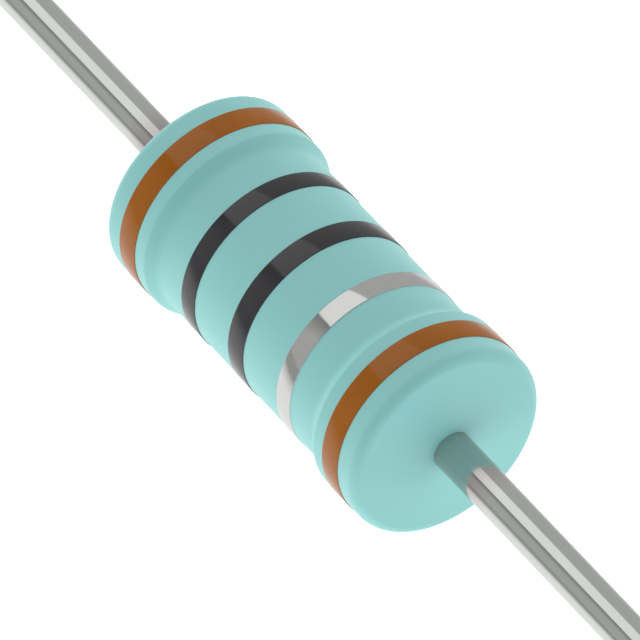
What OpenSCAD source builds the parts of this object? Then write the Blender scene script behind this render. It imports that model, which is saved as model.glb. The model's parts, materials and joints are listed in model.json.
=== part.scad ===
// Axial film resistor with a dog-bone lacquer body and five colour bands.
// Inside it: a ceramic rod, a resistive film with a spiral cut, and two pressed
// end caps with a wire lead welded to each. The leads lie along X, the origin is
// the middle of the body, and the colour bands are read from the -X end.

/* [Ceramic rod] */
// Diameter of the ceramic rod
rod_d = 3.2; // [2:0.1:5]
// Length of the ceramic rod
rod_l = 7.5; // [6.6:0.1:12]
// Chamfer on the end edges of the rod
rod_chamfer = 0.12; // [0.08:0.01:0.3]

/* [Resistive film] */
// Thickness of the film on the rod
film_t = 0.03; // [0.02:0.005:0.06]
// Length of rod that the spiral cut runs over
cut_l = 4.2; // [2:0.1:4.4]
// Number of whole turns of the spiral cut
cut_turns = 4; // [2:1:6]
// Width of the spiral cut
cut_w = 0.15; // [0.08:0.01:0.3]

/* [End caps] */
// Wall of the pressed end caps
cap_wall = 0.25; // [0.15:0.01:0.4]
// Floor of the pressed end caps
cap_floor = 0.25; // [0.15:0.01:0.4]
// Length of a cap from the outside of its floor to its rim
cap_l = 1.15; // [0.9:0.05:1.6]
// Radius of the outer corner of the caps
cap_corner_r = 0.2; // [0.05:0.01:0.3]
// Chamfer at the mouth of the caps
cap_mouth_chamfer = 0.06; // [0.02:0.01:0.12]

/* [Leads] */
// Diameter of the lead wire
lead_d = 0.8; // [0.5:0.05:1.2]
// Length of each lead outside the body
lead_l = 28; // [5:1:40]
// Flare of the wire where it is welded to the cap
weld_flare = 0.12; // [0.05:0.01:0.2]
// Chamfer on the cut end of the wire
lead_tip_chamfer = 0.05; // [0.02:0.01:0.15]

/* [Lacquer body] */
// Lacquer over the walls of the caps
coat_cap_t = 0.195; // [0.1:0.005:0.4]
// Lacquer over the film between the caps
coat_waist_t = 0.28; // [0.15:0.01:0.4]
// Lacquer over the outer faces of the caps
coat_end_t = 0.23; // [0.21:0.01:0.5]
// Radius of the two end rims of the body
rim_r = 0.23; // [0.05:0.01:0.3]
// Slope of the shoulders in degrees
shoulder_slope = 35; // [20:1:60]
// Radius at the crest of each shoulder
crest_r = 0.08; // [0.02:0.01:0.3]
// Radius at the foot of each shoulder
foot_r = 0.3; // [0.05:0.01:0.6]

/* [Colour bands] */
// Thickness of the painted bands
band_t = 0.015; // [0.01:0.005:0.05]
// Width of the two bands on the ends of the body
end_band_w = 0.51; // [0.3:0.01:0.7]
// Distance from an end of the body to the middle of its band
end_band_inset = 0.82; // [0.7:0.01:0.95]
// Width of the middle band
middle_band_w = 0.5; // [0.3:0.01:0.8]
// Width of the two bands beside the middle one
side_band_w = 0.44; // [0.3:0.01:0.8]
// Distance from the middle band to the bands beside it, middle to middle
side_band_pitch = 1.6; // [1:0.05:2]

/* [Hidden] */

$fn = 96;

// Radii from the axis outwards
rod_r = rod_d / 2;
film_r = rod_r + film_t;
cap_r = film_r + cap_wall;
end_r = cap_r + coat_cap_t;
waist_r = film_r + coat_waist_t;
lead_r = lead_d / 2;

// Distances from the middle of the body along the axis
rod_end = rod_l / 2;
cap_face = rod_end + cap_floor;
cap_rim = cap_face - cap_l;
body_end = cap_face + coat_end_t;
lead_end = body_end + lead_l;

// A shoulder rises from its foot on the waist to its crest over the rim of the cap.
// The waist is cut as a groove whose sides run on past the crest by their own height.
shoulder_h = end_r - waist_r;
shoulder_l = shoulder_h / tan(shoulder_slope);
shoulder_foot = cap_rim - shoulder_l;
groove_end = cap_rim + shoulder_l;
groove_r = end_r + shoulder_h;

// The two shoulder radii share the slope between them, so each stops short of half of it
slope_l = shoulder_h / sin(shoulder_slope);
shoulder_r_max = 0.45 * slope_l / tan(shoulder_slope / 2);
crest_fit_r = min(crest_r, shoulder_r_max);
foot_fit_r = min(foot_r, shoulder_r_max);

// The inside corner of a cap clears the chamfer of the rod
cap_inner_corner_r = rod_chamfer / 2;

// How far a rounding piece reaches past its corner, as a share of its own size
corner_overlap = 1.2;

// The film is a tube of flat facets that stand just clear of the round rod
film_sides = 48;
film_in_r = rod_r / cos(180 / film_sides);
film_end = rod_end - rod_chamfer;

steel = [0.70, 0.70, 0.68];
tinned_copper = [0.76, 0.76, 0.74];
lacquer = [0.58, 0.79, 0.79];
brown = [0.58, 0.34, 0.16];
black = [0.20, 0.21, 0.22];
silver = [0.82, 0.83, 0.84];

// A point given by its place along the axis and its distance from it
function at(along, radius) = [radius, along];

// Turns a half section about the X axis
module turned() {
    rotate([0, 90, 0]) rotate_extrude() children();
}

// Repeats a half section at the other end of the body
module both_ends() {
    children();
    mirror([0, 1]) children();
}

// The piece between a corner and an arc that touches both of its legs. It reaches a
// little past the corner, so that none of its straight edges lies along a leg.
module corner_piece(corner, leg_a, leg_b, r) {
    half = abs(leg_a - leg_b) / 2;
    middle = (leg_a + leg_b) / 2;
    reach = r / tan(half);
    to_corner = -r / sin(half) * [cos(middle), sin(middle)];
    to_a = to_corner + reach * [cos(leg_a), sin(leg_a)];
    to_b = to_corner + reach * [cos(leg_b), sin(leg_b)];
    translate(corner - to_corner) difference() {
        polygon(corner_overlap * [[0, 0], to_a, to_corner, to_b]);
        circle(r);
    }
}

// Half section of the drawn cap at the +X end
module cap_section() {
    difference() {
        translate(at(cap_rim, 0)) square([cap_r, cap_l]);
        corner_piece(at(cap_face, cap_r), 270, 180, cap_corner_r);
        difference() {
            polygon([
                at(cap_rim, 0),
                at(cap_rim, film_r + cap_mouth_chamfer),
                at(cap_rim + cap_mouth_chamfer, film_r),
                at(rod_end, film_r),
                at(rod_end, 0)
            ]);
            corner_piece(at(rod_end, film_r), 270, 180, cap_inner_corner_r);
        }
    }
}

// Half section of the lead at the +X end, with the flare of its weld
module lead_section() {
    difference() {
        polygon([
            at(cap_face, 0),
            at(cap_face, lead_r + weld_flare),
            at(cap_face + weld_flare, lead_r),
            at(lead_end - lead_tip_chamfer, lead_r),
            at(lead_end, lead_r - lead_tip_chamfer),
            at(lead_end, 0)
        ]);
        translate(at(cap_face + weld_flare, lead_r + weld_flare)) circle(weld_flare);
    }
}

// Half section of the whole body as seen from outside
module body_section() {
    difference() {
        translate(at(-body_end, 0)) square([end_r, 2 * body_end]);
        difference() {
            polygon([
                at(-shoulder_foot, waist_r),
                at(shoulder_foot, waist_r),
                at(groove_end, groove_r),
                at(-groove_end, groove_r)
            ]);
            both_ends() corner_piece(at(shoulder_foot, waist_r), 270, 450 - shoulder_slope, foot_fit_r);
        }
        both_ends() corner_piece(at(cap_rim, end_r), 90, 270 - shoulder_slope, crest_fit_r);
        both_ends() corner_piece(at(body_end, end_r), 270, 180, rim_r);
    }
}

module ceramic_rod() {
    color([0.93, 0.92, 0.88]) turned() polygon([
        at(-rod_end, 0),
        at(-rod_end, rod_r - rod_chamfer),
        at(-film_end, rod_r),
        at(film_end, rod_r),
        at(rod_end, rod_r - rod_chamfer),
        at(rod_end, 0)
    ]);
}

// The spiral cut leaves cut_turns + 1 strips of film side by side. Over one turn
// each strip moves along by one pitch and so meets the next one, which makes the
// ribbon. The seam at angle 0 holds both ends of the cut and has two more points.
cut_pitch = cut_l / cut_turns;
seam_points = 2 * cut_turns + 4;
ring_points = 2 * cut_turns + 2;
side_points = seam_points + (film_sides - 1) * ring_points;

function cut_middle(turn) = -cut_l / 2 + cut_pitch * turn;
function strip_low(k, turn) = k == 0 ? -film_end : cut_middle(k - 1 + turn) + cut_w / 2;
function strip_high(k, turn) = k == cut_turns ? film_end : cut_middle(k + turn) - cut_w / 2;
function seam_alongs() = concat(
    [-film_end],
    [for (k = [0:cut_turns], side = [-1, 1]) cut_middle(k) + side * cut_w / 2],
    [film_end]
);
function ring_alongs(turn) = [
    for (k = [0:cut_turns], high = [false, true]) high ? strip_high(k, turn) : strip_low(k, turn)
];
function ring_at(alongs, r, angle) = [for (along = alongs) [along, r * cos(angle), r * sin(angle)]];
function film_wall(r) = concat(
    ring_at(seam_alongs(), r, 0),
    [for (j = [1:film_sides - 1]) each ring_at(ring_alongs(j / film_sides), r, 360 * j / film_sides)]
);

// Numbers of the points on the two straight edges of one cell of a strip, from low to high
function ring_start(j) = seam_points + (j - 1) * ring_points;
function first_edge(j, k) =
    j > 0 ? [for (i = [2 * k, 2 * k + 1]) ring_start(j) + i] :
    k < cut_turns ? [2 * k, 2 * k + 1] :
    [for (i = [2 * k:seam_points - 1]) i];
function last_edge(j, k) =
    j < film_sides - 1 ? [for (i = [2 * k, 2 * k + 1]) ring_start(j + 1) + i] :
    k > 0 ? [2 * k + 2, 2 * k + 3] :
    [0, 1, 2, 3];
function top(list) = list[len(list) - 1];

// The triangles of one cell on the outside of the film, and the same ones on its inside
function outer_cell(first, last) = concat(
    [for (i = [1:len(first) - 1]) [first[i - 1], first[i], top(last)]],
    [for (i = [1:len(last) - 1]) [first[0], last[i], last[i - 1]]]
);
function inner_cell(first, last) = [
    for (t = outer_cell(first, last)) [t[2] + side_points, t[1] + side_points, t[0] + side_points]
];

// A wall across the thickness of the film from point a to point b
function wall_across(a, b) = [[a, b, b + side_points], [a, b + side_points, a + side_points]];

module film_ribbon() {
    cells = [for (j = [0:film_sides - 1], k = [0:cut_turns]) [first_edge(j, k), last_edge(j, k)]];
    outer_faces = [for (c = cells) each outer_cell(c[0], c[1])];
    inner_faces = [for (c = cells) each inner_cell(c[0], c[1])];
    low_walls = [for (c = cells) each wall_across(c[0][0], c[1][0])];
    high_walls = [for (c = cells) each wall_across(top(c[1]), top(c[0]))];
    cut_ends = concat(wall_across(1, 2), wall_across(seam_points - 2, seam_points - 3));
    polyhedron(
        points = concat(film_wall(film_r), film_wall(film_in_r)),
        faces = concat(outer_faces, inner_faces, low_walls, high_walls, cut_ends),
        convexity = 10
    );
}

module resistive_film() {
    color([0.42, 0.40, 0.38]) film_ribbon();
}

module end_cap() {
    color(steel) turned() cap_section();
}

module end_cap_right() {
    end_cap();
}

module end_cap_left() {
    mirror([1, 0, 0]) end_cap();
}

module lead() {
    color(tinned_copper) turned() lead_section();
}

module lead_right() {
    lead();
}

module lead_left() {
    mirror([1, 0, 0]) lead();
}

// The lacquer fills the whole body outside the rod, the caps and the welds
module lacquer_coat() {
    color(lacquer) turned() difference() {
        body_section();
        translate(at(-rod_end, 0)) square([film_r, rod_l]);
        both_ends() cap_section();
        both_ends() lead_section();
    }
}

// A painted ring on a surface of the body
module band(middle, surface_r, w, paint) {
    color(paint) turned() translate(at(middle - w / 2, surface_r)) square([band_t, w]);
}

module band_1_brown() {
    band(-body_end + end_band_inset, end_r, end_band_w, brown);
}

module band_2_black() {
    band(-side_band_pitch, waist_r, side_band_w, black);
}

module band_3_black() {
    band(0, waist_r, middle_band_w, black);
}

module band_4_silver() {
    band(side_band_pitch, waist_r, side_band_w, silver);
}

module band_5_brown() {
    band(body_end - end_band_inset, end_r, end_band_w, brown);
}

ceramic_rod();
resistive_film();
end_cap_left();
end_cap_right();
lead_left();
lead_right();
lacquer_coat();
band_1_brown();
band_2_black();
band_3_black();
band_4_silver();
band_5_brown();
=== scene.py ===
"""The looks of an axial film resistor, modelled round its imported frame.

The file is laid out as a Blender add-on and is run as a script. Lengths are in metres, +X runs along
the leads towards the end of the last colour band, +Z is up, and the origin is the middle of the body.
"""

import json
import math
from contextlib import contextmanager

import bmesh
import bpy
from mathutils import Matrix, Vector


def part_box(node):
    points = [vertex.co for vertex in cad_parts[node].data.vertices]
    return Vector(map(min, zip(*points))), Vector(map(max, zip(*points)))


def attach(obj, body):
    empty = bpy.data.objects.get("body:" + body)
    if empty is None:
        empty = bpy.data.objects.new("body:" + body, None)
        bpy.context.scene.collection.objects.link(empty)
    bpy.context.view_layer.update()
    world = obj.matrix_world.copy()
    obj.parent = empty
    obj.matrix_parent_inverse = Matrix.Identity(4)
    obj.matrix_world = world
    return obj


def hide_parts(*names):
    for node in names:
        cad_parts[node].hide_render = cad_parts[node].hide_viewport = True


bl_info = {
    "name": "Axial resistor",
    "version": (1, 0, 0),
    "blender": (4, 5, 0),
    "location": "3D View > Sidebar > Resistor",
    "description": "Makes the lacquered body, colour bands, wire leads and stage of an axial resistor",
    "category": "Add Mesh",
}

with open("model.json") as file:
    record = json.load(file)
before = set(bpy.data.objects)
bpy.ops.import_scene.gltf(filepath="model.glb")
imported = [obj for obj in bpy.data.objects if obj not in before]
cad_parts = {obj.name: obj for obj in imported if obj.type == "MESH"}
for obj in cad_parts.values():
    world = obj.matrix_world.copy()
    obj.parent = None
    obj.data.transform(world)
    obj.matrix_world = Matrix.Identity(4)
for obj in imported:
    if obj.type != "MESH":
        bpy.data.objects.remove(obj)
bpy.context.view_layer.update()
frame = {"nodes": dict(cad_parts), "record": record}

MM = 0.001

# Facets round every turned piece, and along each small arc of its section
ROUND_SIDES = 256
ARC_STEPS = 6

# The distance within which two places are the same, and the one within which two points are merged
NEAR = 0.002 * MM
MERGE = 0.0002 * MM

# Rings that hold a flat wall flat lie this far from where a rounding starts
HOLD = 0.02 * MM

# The rims lie this far inside the flat ends of the solid body
RIM_INSET = 0.04 * MM

# Nearly all values of a noise lie between these two
NOISE_LOW = 0.3
NOISE_HIGH = 0.7

# The side of the square picture in pixels, and Blender's sensor width
PICTURE = 640
SENSOR = 36 * MM


def linear(hex_colour):
    """The linear colour of an sRGB hex value."""
    shares = [int(hex_colour[i:i + 2], 16) / 255 for i in (0, 2, 4)]
    return tuple(c / 12.92 if c <= 0.04045 else ((c + 0.055) / 1.055) ** 2.4 for c in shares)


def size_of(name, description, value):
    """A length that a user can change."""
    return bpy.props.FloatProperty(
        name=name, description=description, default=value, min=0, unit="LENGTH", precision=5)


def turn_of(name, description, degrees):
    """An angle that a user can change."""
    return bpy.props.FloatProperty(
        name=name, description=description, default=math.radians(degrees), subtype="ANGLE")


def level_of(name, description, value):
    """A plain number that a user can change."""
    return bpy.props.FloatProperty(name=name, description=description, default=value, min=0)


def colour_of(name, description, hex_colour):
    """A colour that a user can change."""
    return bpy.props.FloatVectorProperty(
        name=name, description=description, default=linear(hex_colour),
        subtype="COLOR", size=3, min=0, max=1)


# Sizes and colours that a user would change

class LacquerSettings(bpy.types.PropertyGroup):
    """Sizes and colour of the lacquer coat."""

    body_end: size_of(
        "Body end", "From the middle of the body to its rims",
        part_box("lacquer_coat")[1].x - RIM_INSET)
    end_slope: turn_of("End slope", "Rise of the end faces from the rim to the lead", 5)
    end_radius: size_of(
        "End radius", "Radius of the raised ends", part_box("lacquer_coat")[1].z)
    rim_radius: size_of("Rim radius", "Round of the two end rims", 0.23 * MM)
    crest_radius: size_of("Crest radius", "Round at the crest of each shoulder", 0.08 * MM)
    foot_radius: size_of("Foot radius", "Round at the foot of each shoulder", 0.3 * MM)
    slope: turn_of("Shoulder slope", "Slope of the shoulders", 35)
    colour: colour_of("Lacquer", "Colour of the lacquer", "84C3C1")
    sheen: colour_of("Sheen", "Tint of the lacquer where it is seen at a low angle", "D6FFFA")


class BandSettings(bpy.types.PropertyGroup):
    """Sizes and colours of the painted bands."""

    thickness: size_of("Paint thickness", "Thickness of the painted bands", 0.015 * MM)
    edge_radius: size_of("Edge radius", "Round of the edges of the paint", 0.01 * MM)
    brown: colour_of("Brown", "Colour of the first and last band", "945400")
    black: colour_of("Black", "Colour of the second and third band", "27272A")
    silver: colour_of("Silver", "Colour of the silver band", "D8D8D6")


class LeadSettings(bpy.types.PropertyGroup):
    """Sizes and colour of the wire leads."""

    radius: size_of(
        "Wire radius", "Radius of the lead wire", frame["record"]["mounts"][1]["dims"]["r_mm"] * MM)
    weld_flare: size_of("Weld flare", "Round where the wire is welded to its cap", 0.12 * MM)
    tip_radius: size_of("Tip radius", "Round of the cut end of the wire", 0.05 * MM)
    colour: colour_of("Tin", "Colour of the tin plating", "D7DAD6")
    # Painted shade: these three settings paint the tin darker and greyer beside the body, which darkens the
    # end face's reflection in the wire
    painted_shade_tin: colour_of("Tin by the body", "Where the tin is thin and dull", "C3BBB8")
    painted_shade_reach: size_of("Thin tin", "How far from the body the tin is thin", 0.95 * MM)
    painted_shade_fade: size_of("Fade of the thin tin", "From there to where the tin is full", 0.76 * MM)


class InnerSettings(bpy.types.PropertyGroup):
    """Sizes and colours of the parts inside the lacquer."""

    cap_corner: size_of("Cap corner", "Outer corner radius of the end caps", 0.2 * MM)
    ceramic: colour_of("Ceramic", "Colour of the ceramic rod", "EDEBE2")
    film: colour_of("Film", "Colour of the resistive film", "6E6A66")
    steel: colour_of("Steel", "Colour of the plated end caps", "B9B9B5")


class StageSettings(bpy.types.PropertyGroup):
    """Camera, lamp and surround."""

    azimuth: turn_of("Azimuth", "Where the camera stands round the part", 56.64)
    elevation: turn_of("Elevation", "How high the camera stands", 43.79)
    distance: size_of("Camera distance", "From the camera to the middle of the body", 550 * MM)
    scale: level_of("Pixels per mm", "Scale of the picture at the middle of the body", 54.1)
    middle_x: level_of("Middle, across", "Pixel on which the middle of the body falls", 322.2)
    middle_y: level_of("Middle, down", "Pixel on which the middle of the body falls", 313.5)
    box_near: turn_of("Soft box, near edge", "Angle round the leads, from straight up", 32.9)
    box_far: turn_of("Soft box, far edge", "Angle round the leads, from straight up", -15)
    box_height: size_of("Soft box height", "From the leads to the soft box", 250 * MM)
    box_length: size_of("Soft box length", "Along the leads", 310 * MM)
    box_place: size_of("Soft box place", "From the body to its middle, towards the far lead", 188 * MM)
    box_level: level_of("Soft box level", "How much brighter than the room the soft box is", 0.46)
    surround: level_of("Surround", "Brightness of the room, as it lights the part", 1.15)
    near_end: level_of("Near end", "How much brighter the room is beyond the near lead", 0.25)
    by_camera: level_of("By the camera", "What is left of the room's light around the camera", 0)
    dim_from: level_of("Dimming", "Cosine of the angle from the camera where the dimming starts", 0.5)
    reflected: level_of("Reflected surround", "Brightness of the room in polished surfaces", 0.483)
    shaded: level_of("Shaded strip", "Brightness of the strip beside the soft box", 0.225)
    strip_reach: level_of("Shaded strip reach", "Sine of the angle over which the strip fades", 0.3)
    table: colour_of("Table", "Colour of the paint of the floor", "E7E7E7")
    floor_glow: level_of("Floor glow", "How much the floor shines by itself", 1.02)


class ResistorSettings(bpy.types.PropertyGroup):
    """All settings of the resistor."""

    lacquer: bpy.props.PointerProperty(
        type=LacquerSettings, name="Lacquer", description="Sizes and colour of the lacquer coat")
    bands: bpy.props.PointerProperty(
        type=BandSettings, name="Bands", description="Sizes and colours of the painted bands")
    leads: bpy.props.PointerProperty(
        type=LeadSettings, name="Leads", description="Sizes and colour of the wire leads")
    inner: bpy.props.PointerProperty(
        type=InnerSettings, name="Inner parts", description="Parts inside the lacquer")
    stage: bpy.props.PointerProperty(
        type=StageSettings, name="Stage", description="Camera, lamp and surround")


# Shaping of turned pieces, each along X and round about it. A ring is a place along X and a radius.

def start_bar(name, start, end, radius):
    """Adds a round bar, which each turned piece starts from."""
    bpy.ops.object.select_all(action="DESELECT")
    bpy.ops.mesh.primitive_cylinder_add(
        vertices=ROUND_SIDES, radius=radius, depth=end - start,
        location=((start + end) / 2, 0, 0), rotation=(0, math.pi / 2, 0))
    bpy.ops.object.transform_apply(location=True, rotation=True, scale=True)
    bar = bpy.context.object
    bar.name = name
    return bar


@contextmanager
def editing():
    """Edit mode on the piece at hand."""
    bpy.ops.object.mode_set(mode="EDIT")
    bpy.ops.mesh.select_mode(type="VERT")
    yield
    bpy.ops.object.mode_set(mode="OBJECT")


def pick(wanted):
    """Selects the points for which wanted(place along X, radius) is true, and what they bound."""
    mesh = bpy.context.object.data
    points = bmesh.from_edit_mesh(mesh)
    for point in points.verts:
        point.select_set(bool(wanted(point.co.x, math.hypot(point.co.y, point.co.z))))
    points.select_flush_mode()
    bmesh.update_edit_mesh(mesh)


def pick_rings(*rings):
    """Selects the points on these rings, and the round faces that they bound."""
    pick(lambda along, radius: any(math.dist((along, radius), ring) < NEAR for ring in rings))


def cut_across(*places):
    """Cuts new rings into the piece at these places along X."""
    for place in places:
        bpy.ops.mesh.select_all(action="SELECT")
        bpy.ops.mesh.bisect(plane_co=(place, 0, 0), plane_no=(1, 0, 0), threshold=NEAR)


def round_ring(ring, reach, segments):
    """Rounds the edge at a ring, from reach before it to reach after it."""
    pick_rings(ring)
    bpy.ops.mesh.bevel(offset=reach, segments=segments, profile=0.5, affect="EDGES")


def lead_face(*rings):
    """Extrudes the round face at the first ring on through the other rings."""
    for here, there in zip(rings, rings[1:]):
        pick_rings(here)
        share = there[1] / here[1]
        bpy.ops.mesh.extrude_region_move(TRANSFORM_OT_translate={"value": (there[0] - here[0], 0, 0)})
        bpy.ops.transform.resize(value=(1, share, share), center_override=(0, 0, 0))


def drop_face(ring):
    """Takes away the round face at a ring and leaves its edge."""
    pick_rings(ring)
    bpy.ops.mesh.delete(type="ONLY_FACE")


def arc(centre, radius, start, end):
    """Rings on an arc between two angles in degrees, measured from +X towards larger radii."""
    angles = [math.radians(start + (end - start) * i / ARC_STEPS) for i in range(ARC_STEPS + 1)]
    return [(centre[0] + radius * math.cos(a), centre[1] + radius * math.sin(a)) for a in angles]


def finish_mesh(piece, smooth_below=30):
    """Merges doubles, turns the faces outwards and shades what is round as round."""
    with editing():
        bpy.ops.mesh.select_all(action="SELECT")
        bpy.ops.mesh.remove_doubles(threshold=MERGE)
        bpy.ops.mesh.normals_make_consistent(inside=False)
    bpy.ops.object.shade_smooth_by_angle(angle=math.radians(smooth_below))
    return piece


def dress(piece, material, node):
    """Gives a piece its material and its place in the frame."""
    piece.data.materials.clear()
    piece.data.materials.append(material)
    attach(piece, "root")
    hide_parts(node)


# Materials

def add_node(tree, kind, inputs=None, **settings):
    """Adds a node with its settings, and gives its inputs values or links."""
    node = tree.nodes.new(kind)
    for setting, value in settings.items():
        setattr(node, setting, value)
    for socket, value in (inputs or {}).items():
        if isinstance(value, bpy.types.NodeSocket):
            tree.links.new(value, node.inputs[socket])
        else:
            node.inputs[socket].default_value = value
    return node


def new_material(name, **constants):
    """A material whose shader has these constants, its tree and the coordinates of the piece."""
    material = bpy.data.materials.new(name)
    material.use_nodes = True
    tree = material.node_tree
    shader = tree.nodes["Principled BSDF"]
    for socket, value in constants.items():
        shader.inputs[socket.replace("_", " ")].default_value = value
    place = add_node(tree, "ShaderNodeTexCoord").outputs["Object"]
    return material, tree, shader, place


def noise_of(tree, place, grain, stretch=1):
    """Noise with grains of a real size, drawn out along X by stretch."""
    drawn = add_node(tree, "ShaderNodeMapping", {"Vector": place, "Scale": (1 / stretch, 1, 1)})
    noise = add_node(tree, "ShaderNodeTexNoise", {
        "Vector": drawn.outputs["Vector"], "Scale": 1 / grain, "Detail": 2})
    return noise.outputs["Fac"]


def tint(tree, noise, colour, shift):
    """A colour that noise makes darker and lighter by a share."""
    darker, lighter = ((*(c * (1 + side * shift) for c in colour), 1) for side in (-1, 1))
    share = add_node(tree, "ShaderNodeMapRange", {
        "Value": noise, "From Min": NOISE_LOW, "From Max": NOISE_HIGH})
    mix = add_node(tree, "ShaderNodeMix", {0: share.outputs["Result"], 6: darker, 7: lighter},
                   data_type="RGBA")
    return mix.outputs[2]


def finish_surface(tree, shader, colour, noise, roughness, relief=None, height=0):
    """Gives the shader its colour and a roughness that noise spreads over a range.

    The relief, where there is one, is a noise that stands up to a real height.
    """
    rough = add_node(tree, "ShaderNodeMapRange", {
        "Value": noise, "From Min": NOISE_LOW, "From Max": NOISE_HIGH,
        "To Min": roughness[0], "To Max": roughness[1]})
    tree.links.new(colour, shader.inputs["Base Color"])
    tree.links.new(rough.outputs["Result"], shader.inputs["Roughness"])
    if relief is not None:
        raised = add_node(tree, "ShaderNodeBump", {"Height": relief, "Distance": height, "Strength": 1})
        tree.links.new(raised.outputs["Normal"], shader.inputs["Normal"])


def epoxy_lacquer(coat):
    """Epoxy lacquer, sprayed and baked: satin, with a faint clouding and a very fine orange peel.

    Its fine filler makes it lighter where it is seen at a low angle.
    """
    material, tree, shader, place = new_material(
        "Epoxy lacquer, sprayed and baked", IOR=1.5,
        Sheen_Weight=0.35, Sheen_Roughness=0.4, Sheen_Tint=(*coat.sheen, 1))
    cloud = noise_of(tree, place, grain=0.9 * MM)
    peel = noise_of(tree, place, grain=0.16 * MM)
    finish_surface(tree, shader, tint(tree, cloud, coat.colour, shift=0.012), cloud,
                   roughness=(0.43, 0.49), relief=peel, height=0.0006 * MM)
    return material


def marking_ink(name, colour, index):
    """Baked marking ink: glossier than the lacquer below it, and a little uneven in depth."""
    material, tree, shader, place = new_material(name, IOR=index)
    depth = noise_of(tree, place, grain=0.5 * MM)
    flow = noise_of(tree, place, grain=0.2 * MM)
    finish_surface(tree, shader, tint(tree, depth, colour, shift=0.05), depth,
                   roughness=(0.09, 0.14), relief=flow, height=0.0002 * MM)
    return material


def aluminium_ink(colour):
    """Aluminium ink, rolled and baked: metal flakes that lie flat and so reflect almost as a mirror.

    The flakes are drawn coarser than they are, so that they show.
    """
    material, tree, shader, place = new_material("Aluminium ink, rolled and baked", Metallic=1)
    flakes = noise_of(tree, place, grain=0.06 * MM)
    finish_surface(tree, shader, tint(tree, flakes, colour, shift=0.02), flakes, roughness=(0.07, 0.1))
    return material


def tinned_wire(wire, root):
    """Tinned copper, drawn: bright tin with faint lines along the wire from the drawing die.

    The lines are drawn coarser than they are, so that they show. Beside the body, from the root of the
    wire on, the tin is painted darker and greyer: painted shade that darkens the end face's reflection
    there.
    """
    material, tree, shader, place = new_material("Tinned copper, drawn", Metallic=1)
    lines = noise_of(tree, place, grain=0.05 * MM, stretch=60)
    along = add_node(tree, "ShaderNodeSeparateXYZ", {"Vector": place}).outputs["X"]
    from_middle = add_node(tree, "ShaderNodeMath", {0: along}, operation="ABSOLUTE").outputs[0]
    # Painted shade: from the root out the tin is painted darker and greyer, then fades to full tin, so
    # reflections beside the body come out darker
    painted_shade_end = root + wire.painted_shade_reach
    past_painted_shade = add_node(tree, "ShaderNodeMapRange", {
        "Value": from_middle, "From Min": painted_shade_end, "From Max": painted_shade_end + wire.painted_shade_fade})
    plating = add_node(tree, "ShaderNodeMix", {
        0: past_painted_shade.outputs["Result"], 6: tint(tree, lines, wire.painted_shade_tin, shift=0.03),
        7: tint(tree, lines, wire.colour, shift=0.015)}, data_type="RGBA")
    finish_surface(tree, shader, plating.outputs[2], lines,
                   roughness=(0.08, 0.12), relief=lines, height=0.0001 * MM)
    return material


def fired_ceramic(colour):
    """Alumina ceramic, fired: matt and faintly grainy. The grain is drawn coarser than it is."""
    material, tree, shader, place = new_material("Alumina ceramic, fired", IOR=1.76)
    grains = noise_of(tree, place, grain=0.08 * MM)
    finish_surface(tree, shader, tint(tree, grains, colour, shift=0.03), grains,
                   roughness=(0.6, 0.75), relief=grains, height=0.002 * MM)
    return material


def metal_film(colour):
    """Nickel chromium film, sputtered: dark, and as smooth as the ceramic's grain lets it be.

    The grain is drawn coarser than it is.
    """
    material, tree, shader, place = new_material("Nickel chromium film, sputtered", Metallic=1)
    grains = noise_of(tree, place, grain=0.08 * MM)
    finish_surface(tree, shader, tint(tree, grains, colour, shift=0.04), grains, roughness=(0.32, 0.42))
    return material


def plated_steel(colour):
    """Tin-plated steel, deep drawn: dull, with faint drawing lines along the wall of the cap.

    The lines are drawn coarser than they are.
    """
    material, tree, shader, place = new_material("Tin-plated steel, deep drawn", Metallic=1)
    lines = noise_of(tree, place, grain=0.06 * MM, stretch=12)
    finish_surface(tree, shader, tint(tree, lines, colour, shift=0.03), lines, roughness=(0.24, 0.34))
    return material


# Pieces

def lead_root(coat, leads):
    """The place along X where a lead comes out of the sloping end face."""
    return coat.body_end + (coat.end_radius - leads.radius) * math.tan(coat.end_slope)


def weld_rings(cap_face, leads):
    """Rings of the flare where a lead is welded to the face of its cap."""
    flare = leads.weld_flare
    return arc((cap_face + flare, leads.radius + flare), flare, 270, 180)


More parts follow.
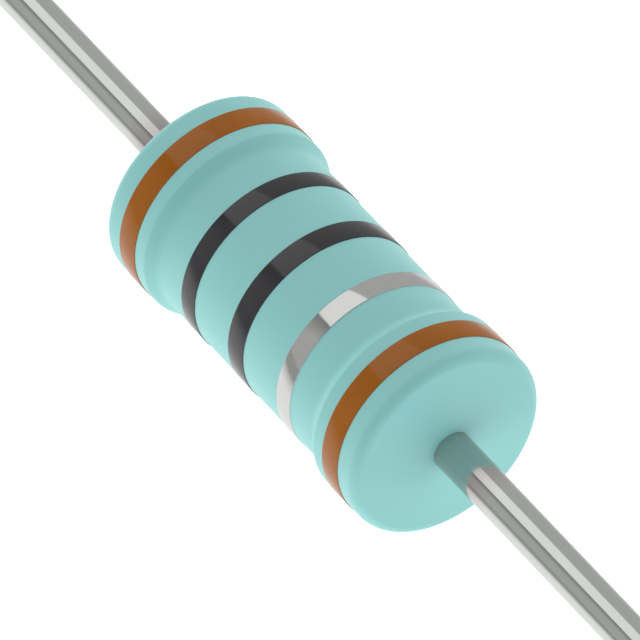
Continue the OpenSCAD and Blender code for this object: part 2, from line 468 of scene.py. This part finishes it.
class RESISTOR_OT_lacquer_coat(bpy.types.Operator):
    """Makes the lacquered dog-bone body."""

    bl_idname = "resistor.lacquer_coat"
    bl_label = "Lacquer coat"

    def execute(self, context):
        made = context.scene.resistor
        coat, inner, leads = made.lacquer, made.inner, made.leads
        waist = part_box("band_3_black")[1].z - made.bands.thickness
        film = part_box("resistive_film")[1].z
        cap_low, cap_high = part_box("end_cap_right")
        crest = (cap_low.x, coat.end_radius)
        foot = (cap_low.x - (coat.end_radius - waist) / math.tan(coat.slope), waist)
        crest_reach = coat.crest_radius * math.tan(coat.slope / 2)
        foot_reach = coat.foot_radius * math.tan(coat.slope / 2)
        rim_turn = math.pi / 2 - coat.end_slope
        rim_reach = coat.rim_radius * math.tan(rim_turn / 2)
        rim = (coat.body_end, coat.end_radius)
        inward = rim_reach * math.cos(coat.end_slope) + HOLD
        inside_rim = (rim[0] + inward * math.tan(coat.end_slope), coat.end_radius - inward)

        body = start_bar("lacquer_body", 0, rim[0], coat.end_radius)
        with editing():
            cut_across(foot[0] - foot_reach - HOLD, foot[0], crest[0], crest[0] + crest_reach + HOLD,
                       rim[0] - rim_reach - HOLD)
            pick(lambda along, radius: along < foot[0] + NEAR)
            share = waist / coat.end_radius
            bpy.ops.transform.resize(value=(1, share, share), center_override=(0, 0, 0))
            round_ring(foot, foot_reach, segments=8)
            round_ring(crest, crest_reach, segments=6)
            corner = arc((cap_high.x - inner.cap_corner, cap_high.z - inner.cap_corner),
                         inner.cap_corner, 0, 90)
            lead_face(rim, inside_rim, (lead_root(coat, leads), leads.radius),
                      *weld_rings(cap_high.x, leads), *corner,
                      (cap_low.x, cap_high.z), (cap_low.x, film), (0, film))
            round_ring(rim, rim_reach, segments=16)
            drop_face((0, film))
            drop_face((0, waist))
        other_end = body.modifiers.new("Other end", "MIRROR")
        other_end.merge_threshold = NEAR
        bpy.ops.object.modifier_apply(modifier=other_end.name)
        dress(finish_mesh(body), epoxy_lacquer(coat), "lacquer_coat")
        return {"FINISHED"}


class RESISTOR_OT_colour_bands(bpy.types.Operator):
    """Makes the five painted bands."""

    bl_idname = "resistor.colour_bands"
    bl_label = "Colour bands"

    def execute(self, context):
        paint = context.scene.resistor.bands
        brown = marking_ink("Brown marking ink, baked", paint.brown, index=1.42)
        black = marking_ink("Black marking ink, baked", paint.black, index=1.58)
        silver = aluminium_ink(paint.silver)
        self.ring("first_band", "band_1_brown", brown, "brown_paint", paint)
        self.ring("second_band", "band_2_black", black, "black_paint", paint)
        self.ring("third_band", "band_3_black", black, "black_paint", paint)
        self.ring("multiplier_band", "band_4_silver", silver, "silver_paint", paint)
        self.ring("tolerance_band", "band_5_brown", brown, "brown_paint", paint)
        return {"FINISHED"}

    @staticmethod
    def ring(name, node, material, slot, paint):
        """One painted ring, with rounded edges, on the surface below it."""
        low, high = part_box(node)
        edge = high.z - paint.edge_radius
        under = high.z - paint.thickness
        band = start_bar(name, low.x, high.x, high.z)
        with editing():
            round_ring((low.x, high.z), paint.edge_radius, segments=3)
            round_ring((high.x, high.z), paint.edge_radius, segments=3)
            lead_face((high.x, edge), (high.x, under), (low.x, under))
            drop_face((low.x, under))
            drop_face((low.x, edge))
            pick_rings((low.x, under), (low.x, edge))
            bpy.ops.mesh.bridge_edge_loops()
        dress(finish_mesh(band, smooth_below=40), material, node)


class RESISTOR_OT_wire_leads(bpy.types.Operator):
    """Makes the two wire leads."""

    bl_idname = "resistor.wire_leads"
    bl_label = "Wire leads"

    def execute(self, context):
        made = context.scene.resistor
        wire = made.leads
        tin = tinned_wire(wire, lead_root(made.lacquer, wire))
        low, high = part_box("lead_right")
        weld_end = low.x + wire.weld_flare
        right = start_bar("wire_right", weld_end, high.x, wire.radius)
        with editing():
            cut_across(weld_end + HOLD, high.x - wire.tip_radius - HOLD)
            round_ring((high.x, wire.radius), wire.tip_radius, segments=5)
            lead_face(*weld_rings(low.x, wire))
        finish_mesh(right, smooth_below=40)
        bpy.ops.object.duplicate()
        left = context.object
        left.name = "wire_left"
        with editing():
            bpy.ops.mesh.select_all(action="SELECT")
            bpy.ops.transform.resize(value=(-1, 1, 1), center_override=(0, 0, 0))
        finish_mesh(left, smooth_below=40)
        dress(right, tin, "lead_right")
        dress(left, tin, "lead_left")
        return {"FINISHED"}


class RESISTOR_OT_inner_parts(bpy.types.Operator):
    """Gives the rod, the film and the caps inside the lacquer their materials."""

    bl_idname = "resistor.inner_parts"
    bl_label = "Inner parts"

    def execute(self, context):
        inner = context.scene.resistor.inner
        steel = plated_steel(inner.steel)
        dressed = {
            "ceramic_rod": fired_ceramic(inner.ceramic),
            "resistive_film": metal_film(inner.film),
            "end_cap_left": steel,
            "end_cap_right": steel,
        }
        for node, material in dressed.items():
            frame["nodes"][node].material_slots[0].material = material
        return {"FINISHED"}


# Stage

# How bright polished surfaces see the floor, by the slant at which they see it. The slant is how far
# a line to the floor runs across the leads for its fall: above 0 before the leads, below 0 behind.
FLOOR_BEFORE = {"From Min": 1.4, "From Max": 3.8, "To Min": 1, "To Max": 0.38}
FLOOR_BEHIND = {"From Min": -4.1, "From Max": 0, "To Min": 0.5, "To Max": 1}


def camera_direction(stage):
    """The direction from the body to the scene's own camera."""
    turn, rise = stage.azimuth, stage.elevation
    return Vector((math.sin(turn) * math.cos(rise), -math.cos(turn) * math.cos(rise), math.sin(rise)))


def mirrored_floor(tree, parts):
    """How bright polished surfaces see the floor, in the direction that has these parts."""
    slant = add_node(tree, "ShaderNodeMath", {0: parts["Y"], 1: parts["Z"]}, operation="DIVIDE")
    before = add_node(tree, "ShaderNodeMapRange", {"Value": slant.outputs[0], **FLOOR_BEFORE})
    behind = add_node(tree, "ShaderNodeMapRange", {"Value": slant.outputs[0], **FLOOR_BEHIND})
    floor = add_node(tree, "ShaderNodeMath", {0: before.outputs["Result"], 1: behind.outputs["Result"]},
                     operation="MULTIPLY")
    return floor.outputs[0]


def mirrored_room(tree, towards, stage):
    """How bright polished surfaces see the room: plain, with a shaded strip before the soft box.

    A lamp hides nothing behind it, so the soft box and the room add up there.
    """
    edge = stage.box_near
    beside = (0, -math.cos(edge), -math.sin(edge))
    away = add_node(tree, "ShaderNodeVectorMath", {0: towards, 1: beside},
                    operation="DOT_PRODUCT").outputs["Value"]
    strip = add_node(tree, "ShaderNodeMapRange", {
        "Value": away, "From Min": 0, "From Max": stage.strip_reach,
        "To Min": stage.shaded, "To Max": stage.reflected})
    in_strip = add_node(tree, "ShaderNodeMath", {0: away, 1: 0}, operation="GREATER_THAN")
    room = add_node(tree, "ShaderNodeMix", {
        0: in_strip.outputs[0], 2: stage.reflected, 3: strip.outputs["Result"]})
    return room.outputs[0]


class RESISTOR_OT_stage(bpy.types.Operator):
    """Sets the floor, the surround, the soft box and the camera."""

    bl_idname = "resistor.stage"
    bl_label = "Stage"

    def execute(self, context):
        stage = context.scene.resistor.stage
        self.floor(stage)
        self.surround(context.scene, stage)
        self.soft_box(context.scene, stage)
        self.camera(context.scene, stage)
        context.scene.view_settings.view_transform = "Standard"
        return {"FINISHED"}

    @staticmethod
    def floor(stage):
        """A white floor that the body lies on.

        Polished surfaces see through it to the world, which holds how bright they see the floor.
        """
        bpy.ops.object.select_all(action="DESELECT")
        lowest = min(corner.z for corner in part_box("band_1_brown"))
        bpy.ops.mesh.primitive_plane_add(size=1, location=(0, 0, lowest))
        bpy.ops.object.transform_apply(location=True, rotation=True, scale=True)
        floor = bpy.context.object
        floor.name = "floor"
        material = bpy.data.materials.new("White table, painted matt")
        material.use_nodes = True
        material.cycles.emission_sampling = "NONE"
        tree = material.node_tree
        tree.nodes.clear()
        path = add_node(tree, "ShaderNodeLightPath")
        paint = add_node(tree, "ShaderNodeBsdfDiffuse", {"Color": (*stage.table, 1)})
        shine = add_node(tree, "ShaderNodeEmission", {"Strength": stage.floor_glow})
        white = add_node(tree, "ShaderNodeAddShader", {0: paint.outputs[0], 1: shine.outputs[0]})
        clear = add_node(tree, "ShaderNodeBsdfTransparent")
        table = add_node(tree, "ShaderNodeMixShader", {
            0: path.outputs["Is Glossy Ray"], 1: white.outputs[0], 2: clear.outputs[0]})
        add_node(tree, "ShaderNodeOutputMaterial", {"Surface": table.outputs[0]})
        floor.data.materials.append(material)

    @staticmethod
    def surround(scene, stage):
        """A plain light room, white to the camera.

        It dims to nothing towards the place of the scene's own camera, so faces turned that way are the
        darkest. The dim side stays where it is, whatever view is rendered.
        """
        world = bpy.data.worlds.new("Light room")
        world.use_nodes = True
        world.cycles.sampling_method = "NONE"
        tree = world.node_tree
        tree.nodes.clear()
        path = add_node(tree, "ShaderNodeLightPath")
        towards = add_node(tree, "ShaderNodeTexCoord").outputs["Generated"]
        parts = add_node(tree, "ShaderNodeSeparateXYZ", {"Vector": towards}).outputs
        ends = add_node(tree, "ShaderNodeMapRange", {
            "Value": parts["X"], "From Min": 0, "From Max": 1,
            "To Min": stage.surround, "To Max": stage.surround + stage.near_end})
        to_camera = add_node(tree, "ShaderNodeVectorMath", {0: towards, 1: camera_direction(stage)},
                             operation="DOT_PRODUCT").outputs["Value"]
        dimmed = add_node(tree, "ShaderNodeMapRange", {
            "Value": to_camera, "From Min": stage.dim_from, "From Max": 1,
            "To Min": 1, "To Max": stage.by_camera})
        walls = add_node(tree, "ShaderNodeMath", {
            0: ends.outputs["Result"], 1: dimmed.outputs["Result"]}, operation="MULTIPLY")
        above = add_node(tree, "ShaderNodeMath", {0: parts["Z"], 1: 0}, operation="GREATER_THAN")
        mirrored = add_node(tree, "ShaderNodeMix", {
            0: above.outputs[0], 2: mirrored_floor(tree, parts), 3: mirrored_room(tree, towards, stage)})
        lit = add_node(tree, "ShaderNodeMix", {
            0: path.outputs["Is Glossy Ray"], 2: walls.outputs[0], 3: mirrored.outputs[0]})
        seen = add_node(tree, "ShaderNodeMix", {
            0: path.outputs["Is Camera Ray"], 2: lit.outputs[0], 3: 1.0})
        light = add_node(tree, "ShaderNodeBackground", {"Color": (1, 1, 1, 1), "Strength": seen.outputs[0]})
        add_node(tree, "ShaderNodeOutputWorld", {"Surface": light.outputs[0]})
        scene.world = world

    @staticmethod
    def soft_box(scene, stage):
        """One large soft box above the leads, out towards the far one, its sides along them."""
        middle = (stage.box_near + stage.box_far) / 2
        half_width = stage.box_height * math.tan((stage.box_near - stage.box_far) / 2)
        lamp = bpy.data.lights.new("soft box", "AREA")
        lamp.shape = "RECTANGLE"
        lamp.size = stage.box_length
        lamp.size_y = 2 * half_width
        lamp.energy = stage.box_level * math.pi * lamp.size * lamp.size_y
        holder = bpy.data.objects.new("soft_box", lamp)
        holder.location = (
            -stage.box_place, -stage.box_height * math.sin(middle), stage.box_height * math.cos(middle))
        holder.rotation_euler = (middle, 0, 0)
        scene.collection.objects.link(holder)

    @staticmethod
    def camera(scene, stage):
        """A long lens, so that the leads keep their thickness."""
        back = camera_direction(stage)
        right = Vector((math.cos(stage.azimuth), math.sin(stage.azimuth), 0))
        up = back.cross(right)
        pixel = MM / stage.scale
        aim = (right * (PICTURE / 2 - stage.middle_x) + up * (stage.middle_y - PICTURE / 2)) * pixel
        camera = bpy.data.cameras.new("camera")
        camera.sensor_width = SENSOR / MM
        camera.lens = SENSOR / (PICTURE * pixel) * stage.distance / MM
        camera.clip_start = stage.distance / 10
        camera.clip_end = stage.distance * 10
        holder = bpy.data.objects.new("camera", camera)
        holder.location = aim + back * stage.distance
        holder.rotation_euler = (-back).to_track_quat("-Z", "Y").to_euler()
        scene.collection.objects.link(holder)
        scene.camera = holder


class RESISTOR_PT_sidebar(bpy.types.Panel):
    """Lists the pieces and their settings."""

    bl_label = "Axial resistor"
    bl_space_type = "VIEW_3D"
    bl_region_type = "UI"
    bl_category = "Resistor"

    def draw(self, context):
        for operator, group in STEPS:
            column = self.layout.column(align=True)
            column.operator(operator.bl_idname)
            settings = getattr(context.scene.resistor, group)
            for name in settings.__annotations__:
                column.prop(settings, name)


# Each step in the order in which it runs, with the group that holds its settings
STEPS = (
    (RESISTOR_OT_stage, "stage"),
    (RESISTOR_OT_lacquer_coat, "lacquer"),
    (RESISTOR_OT_colour_bands, "bands"),
    (RESISTOR_OT_wire_leads, "leads"),
    (RESISTOR_OT_inner_parts, "inner"),
)
CLASSES = (
    LacquerSettings, BandSettings, LeadSettings, InnerSettings, StageSettings, ResistorSettings,
    *(operator for operator, group in STEPS), RESISTOR_PT_sidebar,
)


def register():
    """Adds the classes and the settings to Blender."""
    for each in CLASSES:
        bpy.utils.register_class(each)
    bpy.types.Scene.resistor = bpy.props.PointerProperty(
        type=ResistorSettings, name="Resistor", description="All settings of the resistor")


def unregister():
    """Takes the settings and the classes out of Blender."""
    del bpy.types.Scene.resistor
    for each in reversed(CLASSES):
        bpy.utils.unregister_class(each)


def main():
    """Makes the resistor and its stage."""
    register()
    bpy.ops.resistor.stage()
    bpy.ops.resistor.lacquer_coat()
    bpy.ops.resistor.colour_bands()
    bpy.ops.resistor.wire_leads()
    bpy.ops.resistor.inner_parts()


if __name__ == "__main__":
    main()
